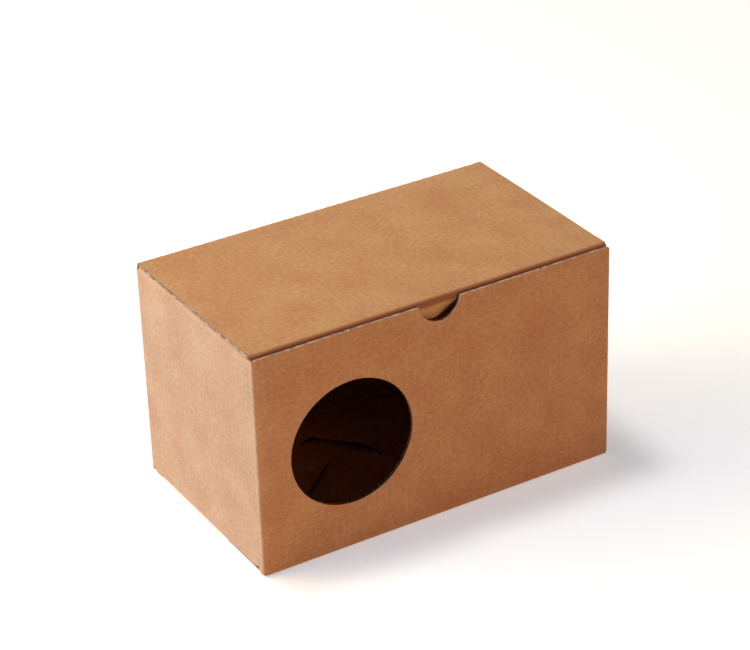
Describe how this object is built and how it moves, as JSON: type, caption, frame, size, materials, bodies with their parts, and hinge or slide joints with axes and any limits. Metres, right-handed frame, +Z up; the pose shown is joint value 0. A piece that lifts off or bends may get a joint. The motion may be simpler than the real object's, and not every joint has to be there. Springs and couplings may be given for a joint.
{
  "type": "mug box",
  "caption": "Rectangular kraft corrugated carton for mugs, with a hinged tuck-in lid, a round front window and a thumb notch.",
  "frame": {"origin": "middle of the footprint, on the surface that the box stands on", "axes": "+X along the length, from the end with the window to the other end; +Y from the front wall with the window to the back wall that carries the lid; +Z up"},
  "size_m": [0.19, 0.11, 0.1135],
  "materials": {
    "kraft_board": "matte uncoated kraft liner"
  },
  "bodies": {
    "box": {"box_body": "kraft_board"},
    "lid": {"lid": "kraft_board"}
  },
  "joints": [
    {"name": "lid_hinge", "type": "hinge", "parent": "box", "child": "lid", "pos_m": [0, 0.055, 0.1117], "axis": [-1, 0, 0], "range_deg": [0, 180]}
  ]
}
